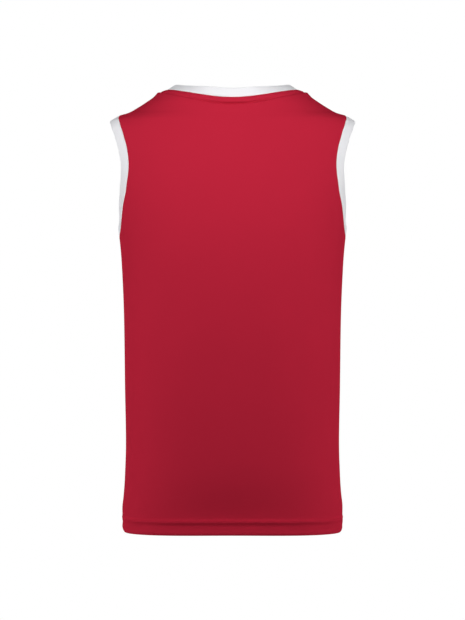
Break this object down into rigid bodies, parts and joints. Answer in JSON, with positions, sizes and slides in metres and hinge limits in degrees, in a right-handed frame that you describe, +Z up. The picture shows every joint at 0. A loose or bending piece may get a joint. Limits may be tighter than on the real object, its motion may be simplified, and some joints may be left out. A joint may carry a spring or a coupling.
{
  "type": "basketball jersey",
  "caption": "Sleeveless basketball jersey in plain knit, filled out as when worn, with a shallow back neck, a scooped front and contrast bands round the neck and armholes.",
  "frame": {"origin": "half way between the two shoulders, level with the middle of the shoulder seams, where the wearer's shoulders carry the garment", "axes": "+Z up the wearer's body, +Y towards the wearer's front, +X towards the wearer's right"},
  "size_m": [0.403, 0.2576, 0.7332],
  "materials": {
    "body_knit": "smooth matt polyester interlock, cardinal red",
    "band_knit": "smooth matt polyester interlock, white"
  },
  "bodies": {
    "root": {"back": "body_knit", "front": "body_knit", "neckband": "band_knit", "armband_left": "band_knit", "armband_right": "band_knit"}
  },
  "joints": []
}
